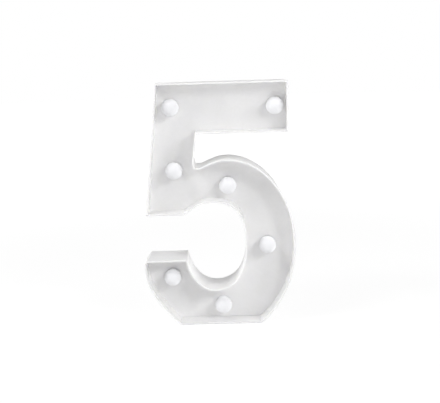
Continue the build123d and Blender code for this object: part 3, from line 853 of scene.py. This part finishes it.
def wind_spring(name, node, plate_side):
    """A coil in the box of its node; plate_side is -1 where the plate is on the left."""
    low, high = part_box(node)
    middle_y, middle_z = (low.y + high.y) / 2, (low.z + high.z) / 2
    wide = (high.z - low.z) / 2 - spring_wire
    narrow = (high.z - low.z) / 2 * tip_share - spring_wire
    plate = low.x if plate_side < 0 else high.x
    climb = (high.x - low.x) - 2 * spring_wire
    path = []
    for step in range(int(spring_turns * steps_per_turn) + 1):
        turn = step / steps_per_turn
        rise = (turn - flat_turns) / (spring_turns - flat_turns - last_flat_turns)
        rise = min(max(rise, 0.0), 1.0)
        if turn < flat_turns:
            radius = wide - closed_turn_draw * turn / flat_turns
        else:
            share = (turn - flat_turns) / (spring_turns - flat_turns)
            radius = (wide - closed_turn_draw) * (1 - share) + narrow * share
        along = plate - plate_side * (spring_wire + climb * rise)
        angle = 2 * math.pi * turn
        y, z = middle_y + radius * math.cos(angle), middle_z + radius * math.sin(angle)
        path.append(Vector((along, y, z)))
    form = bmesh.new()
    sweep_form(form, path, spring_wire)
    spring = new_piece(name, form, [nickel_contact], "case")
    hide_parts(node)
    return spring


coil_negative = wind_spring("coil_negative", "spring_negative", -1)
coil_bridge = wind_spring("coil_bridge", "spring_bridge", 1)
print("springs:", coil_negative.name, coil_bridge.name, "of", spring_turns, "turns")

# %% [markdown]
# ## Battery cells
# A cell is a deep-drawn steel can in a printed plastic sleeve. The print is paint in simple
# bands and strokes, so it needs no picture: the map of a turned piece says how far round and
# how far along a point is, and a stroke is where both are near its middle.

# %% Painted strokes
sleeve_radius = 7.25 * millimetre
cell_round = 2 * math.pi * sleeve_radius


def turned_place(tree):
    """The map of a turned piece: turns round it, and metres along its axis."""
    mapped = tree.nodes.new("ShaderNodeUVMap")
    mapped.uv_map = turned_map
    parts = tree.nodes.new("ShaderNodeSeparateXYZ")
    link(tree, mapped.outputs[0], parts.inputs[0])
    return parts.outputs["X"], parts.outputs["Y"]


def near(tree, value, middle, half_width):
    """1 where a value is within half a width of a middle."""
    off = maths(tree, "SUBTRACT", value, middle)
    return maths(tree, "LESS_THAN", maths(tree, "ABSOLUTE", off, 0.0), half_width)


def stroke(tree, across, along, turn, place_along, half_across, half_along):
    """1 inside a stroke on a sleeve, whose half sizes are in metres."""
    beside = near(tree, across, turn, half_across / cell_round)
    return maths(tree, "MULTIPLY", beside, near(tree, along, place_along, half_along))


print("round a cell in mm:", round(cell_round / millimetre, 1))

# %% [markdown]
# The sleeve is dark, with a pale band and a thin line at the positive end. It has no name or
# label, only a plus and a minus near the ends, each three times round.

# %% Print the sleeves
sleeve_body_colour = (0.030, 0.115, 0.165, 1.0)
sleeve_band_colour = (0.70, 0.71, 0.72, 1.0)
sleeve_line_colour = (0.80, 0.42, 0.05, 1.0)
sleeve_mark_colour = (0.84, 0.84, 0.82, 1.0)
band_end = 13.0 * millimetre
line_width = 0.8 * millimetre
plus_place, minus_place = 7.0 * millimetre, 46.0 * millimetre
stroke_long, stroke_thin = 2.0 * millimetre, 0.42 * millimetre
marks_round = 3
sleeve_coat = 0.4

sleeve_print = bpy.data.materials.new("sleeve_print")
sleeve_print.use_nodes = True
tree = sleeve_print.node_tree
shader = tree.nodes["Principled BSDF"]
across, along = turned_place(tree)
plus_marks, minus_marks = 0.0, 0.0
for count in range(marks_round):
    turn = (count + 0.5) / marks_round
    wide = stroke(tree, across, along, turn, plus_place, stroke_long, stroke_thin)
    tall = stroke(tree, across, along, turn, plus_place, stroke_thin, stroke_long)
    plus_marks = maths(tree, "MAXIMUM", plus_marks, maths(tree, "MAXIMUM", wide, tall))
    minus = stroke(tree, across, along, turn, minus_place, stroke_long, stroke_thin)
    minus_marks = maths(tree, "MAXIMUM", minus_marks, minus)
skin = effect(tree, moulded_skin, Colour=sleeve_body_colour, Cloudiness=0.1, Roughness=0.22,
              Grain_Depth=0.1)
lines = effect(tree, handling_scuffs, Amount=0.5, Scale=60.0)["Mask"]
in_band = maths(tree, "LESS_THAN", along, band_end)
colour = blend_colours(tree, in_band, skin["Colour"], sleeve_band_colour)
on_line = near(tree, along, band_end, line_width / 2)
colour = blend_colours(tree, on_line, colour, sleeve_line_colour)
colour = blend_colours(tree, plus_marks, colour, sleeve_body_colour)
colour = blend_colours(tree, minus_marks, colour, sleeve_mark_colour)
link(tree, colour, shader.inputs["Base Color"])
dulled = maths(tree, "MULTIPLY", lines, worn_roughness)
link(tree, maths(tree, "ADD", skin["Roughness"], dulled), shader.inputs["Roughness"])
shader.inputs["Coat Weight"].default_value = sleeve_coat
print("finish:", sleeve_print.name)

# %% [markdown]
# The positive end has a raised cap on an insulating washer inside the rolled rim, and the flat
# end shows bare steel. The can and its sleeve are turned from the profiles below, from the
# cap's face to the flat end.

# %% Turn the cells
can_profile = (
    (0.10, 0), (0.10, 1.6), (0.0, 2.0), (0.0, 2.4), (0.12, 2.65), (0.35, 2.75), (0.95, 2.75),
    (1.12, 2.9), (1.2, 3.2), (1.2, 4.9), (1.35, 5.2), (1.35, 6.35), (1.15, 6.45), (1.05, 6.6),
    (1.12, 6.85), (1.4, 7.0), (2.0, 7.05), (49.4, 7.05), (49.9, 6.9), (50.2, 6.4),
    (50.25, 5.9), (50.4, 5.7), (50.45, 5.2), (50.45, 2.0), (50.3, 1.7), (50.3, 0),
)
sleeve_wall = 0.12
sleeve_outside = (
    (1.28, 6.5), (1.18, 6.75), (1.22, 7.0), (1.5, 7.2), (1.8, 7.24), (2.2, 7.25),
    (49.3, 7.25), (49.8, 7.18), (50.15, 6.9), (50.28, 6.5), (50.26, 6.2),
)
sleeve_inside = tuple((along, radius - sleeve_wall) for along, radius in sleeve_outside[::-1])
sleeve_profile = (*sleeve_outside, *sleeve_inside, sleeve_outside[0])
cell_corners = 72
same_place = 0.001 * millimetre


def build_cell(name, node, nub_side):
    """A cell in the box of its node; nub_side is -1 where the cap points left."""
    low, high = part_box(node)
    nub_x = low.x if nub_side < 0 else high.x
    nub = Vector((nub_x, (low.y + high.y) / 2, (low.z + high.z) / 2))
    axis = Vector((-nub_side, 0, 0))
    can = bmesh.new()
    turn_form(can, can_profile, nub, axis, cell_corners)
    can_piece = new_piece(name + "_can", can, [cell_steel], "case")
    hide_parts(node)
    sleeve = bmesh.new()
    turn_form(sleeve, sleeve_profile, nub, axis, cell_corners)
    bmesh.ops.remove_doubles(sleeve, verts=sleeve.verts, dist=same_place)
    sleeve_piece = new_piece(name + "_sleeve", sleeve, [sleeve_print], "case")
    return can_piece, sleeve_piece


cells = build_cell("cell_1", "battery_cell_1", -1) + build_cell("cell_2", "battery_cell_2", 1)
print("cell pieces:", [(piece.name, len(piece.data.polygons)) for piece in cells])

# %% [markdown]
# ## Cover screws
# The solids show each screw as a cone head with a plain cross cut. A real cross-head has a
# recess that tapers to a point, with rounded wing ends, a slightly domed face and a thread on
# the shank. The cross could be cut with a boolean, which leaves long thin faces. Here all of
# it is one row of rings: each ring has a depth and a size, and in the recess the radius
# follows the shape of the cross. On the thread a ring climbs by one pitch on its way round.

# %% Shape of a screw
wing_reach, wing_half = 1.5, 0.34
least_sine = 0.001
recess_bottom = 1.5
recess_rings = ((1.35, 0.35), (0.8, 0.62), (0.1, 0.97), (0.0, 1.04))
head_rings = ((0.0, 1.75), (0.03, 2.25), (0.12, 2.46), (0.2, 2.5), (1.35, 1.25))
thread_pitch = 0.8
thread_root, thread_crest = 0.90, 1.12
thread_start, thread_end = 1.6, 9.2
screw_tip = 10.0


def cross_radius(turn, scale):
    """Radius of a cross with rounded wing ends, at an angle, in millimetres."""
    off = abs((turn + math.pi / 4) % (math.pi / 2) - math.pi / 4)
    narrow = wing_half / max(math.sin(off), least_sine)
    return scale * min(wing_reach, narrow)


def list_screw_rings():
    """Depth, kind and size of each ring, from the recess over the head to the tip, in mm."""
    rings = [(recess_bottom, "point", 0.0)]
    rings += [(depth, "cross", scale) for depth, scale in recess_rings]
    rings += [(depth, "round", radius) for depth, radius in head_rings]
    depth, reach, next_reach = thread_start, thread_crest, thread_root
    while depth < thread_end:
        rings.append((depth, "thread", min(reach, screw_tip - depth)))
        depth += thread_pitch / 2
        reach, next_reach = next_reach, reach
    rings.append((screw_tip, "point", 0.0))
    return rings


screw_rings = list_screw_rings()
print("rings of a screw:", len(screw_rings))

# %% [markdown]
# The ten screws are one node, so their places are found in its mesh: each screw is an island
# of points that no edge joins to the others.

# %% Find the screws


def screw_places(node):
    """The middle of each screw's head, found as the separate islands of the node's mesh."""
    island = bmesh.new()
    island.from_mesh(nodes[node].data)
    bmesh.ops.remove_doubles(island, verts=island.verts, dist=same_place)
    left, found = set(island.verts), []
    while left:
        group, edge = set(), [left.pop()]
        while edge:
            vertex = edge.pop()
            group.add(vertex)
            for line in vertex.link_edges:
                other = line.other_vert(vertex)
                if other in left:
                    left.discard(other)
                    edge.append(other)
        points = [vertex.co for vertex in group]
        lows = [min(p[i] for p in points) for i in range(3)]
        highs = [max(p[i] for p in points) for i in range(3)]
        found.append(Vector(((lows[0] + highs[0]) / 2, highs[1], (lows[2] + highs[2]) / 2)))
    island.free()
    return sorted(found, key=lambda p: (round(p.z, 4), round(p.x, 4)))


heads = screw_places("cover_screws")
print("screws found:", len(heads))

# %% [markdown]
# Screws driven by hand never line up, so each one is turned a little further than the last.

# %% Cut the screws
screw_corners = 72
first_twist, further_twist = 0.35, 1.7
screw_crisp_angle = 28.0


def build_screw(form, head, twist):
    """One screw whose head faces +Y; depth counts from the head's face into the cover."""
    rings = []
    for depth, kind, size in screw_rings:
        if kind == "point":
            rings.append([form.verts.new(head + Vector((0, -depth, 0)) * millimetre)])
            continue
        ring = []
        for corner in range(screw_corners):
            turn = 2 * math.pi * corner / screw_corners
            radius = cross_radius(turn, size) if kind == "cross" else size
            lead = thread_pitch * corner / screw_corners if kind == "thread" else 0.0
            angle = turn + twist
            point = (radius * math.cos(angle), -depth - lead, radius * math.sin(angle))
            ring.append(form.verts.new(head + Vector(point) * millimetre))
        rings.append(ring)
    join_rings(form, rings, screw_corners)


screw_form = bmesh.new()
for count, head in enumerate(heads):
    build_screw(screw_form, head, twist=first_twist + further_twist * count)
screws = new_piece(
    "cross_head_screws", screw_form, [zinc_screw], "case", screw_crisp_angle
)
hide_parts("cover_screws")
print("screws:", len(heads), "faces:", len(screws.data.polygons))

# %% [markdown]
# ## Resistor
# A small film resistor is a lacquered body with two fatter ends, and its value is four painted
# bands. The bands are the same for every maker, so they are safe to show. Body and leads are
# turned from two profiles, and the bands are painted by the map, as on the cells.

# %% Paint the resistor
lacquer_tan = (0.62, 0.50, 0.30, 1.0)
band_half_width = 0.27 * millimetre
bands = (
    (3.95, (0.12, 0.05, 0.02, 1.0)),
    (5.5, (0.008, 0.008, 0.008, 1.0)),
    (6.3, (0.012, 0.010, 0.010, 1.0)),
    (8.3, (0.55, 0.38, 0.10, 1.0)),
)

resistor_lacquer = bpy.data.materials.new("resistor_lacquer")
resistor_lacquer.use_nodes = True
tree = resistor_lacquer.node_tree
shader = tree.nodes["Principled BSDF"]
along = turned_place(tree)[1]
skin = effect(tree, moulded_skin, Colour=lacquer_tan, Cloudiness=0.15, Roughness=0.28,
              Grain_Depth=0.6)
colour = skin["Colour"]
for band_place, band_colour in bands:
    painted = near(tree, along, band_place * millimetre, band_half_width)
    colour = blend_colours(tree, painted, colour, band_colour)
link(tree, colour, shader.inputs["Base Color"])
link(tree, skin["Roughness"], shader.inputs["Roughness"])
print("finish:", resistor_lacquer.name, "with", len(bands), "bands")

# %% Turn the resistor
body_profile = (
    (3.05, 0.0), (3.05, 0.28), (3.1, 0.7), (3.3, 1.05), (3.7, 1.2), (4.5, 1.2), (4.95, 1.08),
    (5.2, 0.98), (7.3, 0.98), (7.55, 1.08), (8.0, 1.2), (8.8, 1.2), (9.2, 1.05), (9.4, 0.7),
    (9.45, 0.28), (9.45, 0.0),
)
lead_profile = ((0.0, 0.0), (0.0, 0.3), (12.5, 0.3), (12.5, 0.0))
body_corners, lead_corners = 40, 20
upwards = Vector((0, 0, 1))

low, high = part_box("resistor")
foot = Vector(((low.x + high.x) / 2, (low.y + high.y) / 2, low.z))
form = bmesh.new()
turn_form(form, body_profile, foot, upwards, body_corners)
turn_form(form, lead_profile, foot, upwards, lead_corners, finish=1)
resistor_piece = new_piece(
    "film_resistor", form, [resistor_lacquer, tin_case], "case"
)
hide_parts("resistor")
print("resistor length in mm:", round((high.z - low.z) / millimetre, 2))

# %% [markdown]
# ## Raised marks at the back
# The cover says which way the switch goes. The words are raised 0.2 mm in the moulding, so
# they are real geometry and not paint. They come from a text object, which is turned into a
# mesh, because a mesh exports as it is. From behind, X runs to the left, so they are turned.

# %% Raise the words
mark_height = 0.2 * millimetre
mark_size = 3.4 * millimetre
letter_rounding = 0.04 * millimetre
mark_crisp_angle = 25.0
marks_above_switch = 4.3 * millimetre
off_beside, on_beside = 1.2 * millimetre, 4.0 * millimetre
seen_from_behind = Matrix(((-1, 0, 0), (0, 0, 1), (0, 1, 0))).to_4x4()
switch_low, switch_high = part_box("switch_slider")
cover_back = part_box("back_cover")[1].y


def raise_word(word, middle_x, middle_z):
    """A word on the cover's back, centred on a place."""
    letters = bpy.data.curves.new("mark_" + word.lower(), "FONT")
    letters.body = word
    letters.size = mark_size
    letters.extrude = mark_height / 2
    letters.bevel_depth = letter_rounding
    letters.align_x = letters.align_y = "CENTER"
    holder = bpy.data.objects.new("letters", letters)
    scene.collection.objects.link(holder)
    bpy.context.view_layer.update()
    shown = holder.evaluated_get(bpy.context.evaluated_depsgraph_get())
    mesh = bpy.data.meshes.new_from_object(shown)
    bpy.data.objects.remove(holder)
    middle = (middle_x, cover_back + mark_height / 2, middle_z)
    mesh.transform(Matrix.Translation(middle) @ seen_from_behind)
    form = bmesh.new()
    form.from_mesh(mesh)
    bpy.data.meshes.remove(mesh)
    name = "mark_" + word.lower()
    return new_piece(name, form, [cover_white], "case", mark_crisp_angle)


mark_level = switch_high.z + marks_above_switch
off_mark = raise_word("OFF", switch_low.x - off_beside, mark_level)
on_mark = raise_word("ON", switch_high.x + on_beside, mark_level)
print("words:", off_mark.name, on_mark.name)

# %% [markdown]
# The door has an arrow towards its latch, which shows where to press. It is a raised triangle
# with slightly rounded edges, and it rides on the door.

# %% Raise the arrow
arrow_length, arrow_half = 4.0 * millimetre, 2.4 * millimetre
arrow_from_edge = 18.0 * millimetre
arrow_rounding = 0.06 * millimetre

door_low, door_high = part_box("battery_door")
door_level = (door_low.z + door_high.z) / 2
arrow_tip = Vector((door_high.x - arrow_from_edge, door_high.y, door_level))
form = bmesh.new()
corners = [arrow_tip, arrow_tip + Vector((-arrow_length, 0, arrow_half)),
           arrow_tip + Vector((-arrow_length, 0, -arrow_half))]
base = form.faces.new([form.verts.new(corner) for corner in corners])
raised = bmesh.ops.extrude_face_region(form, geom=[base])["geom"]
lifted = [part for part in raised if isinstance(part, bmesh.types.BMVert)]
bmesh.ops.translate(form, vec=(0, mark_height, 0), verts=lifted)
bmesh.ops.recalc_face_normals(form, faces=form.faces)
bmesh.ops.bevel(form, geom=list(form.edges), offset=arrow_rounding, segments=2, affect="EDGES")
arrow = new_piece("door_arrow", form, [cover_white], "door", mark_crisp_angle)
print("arrow:", arrow.name, "faces:", len(arrow.data.polygons))
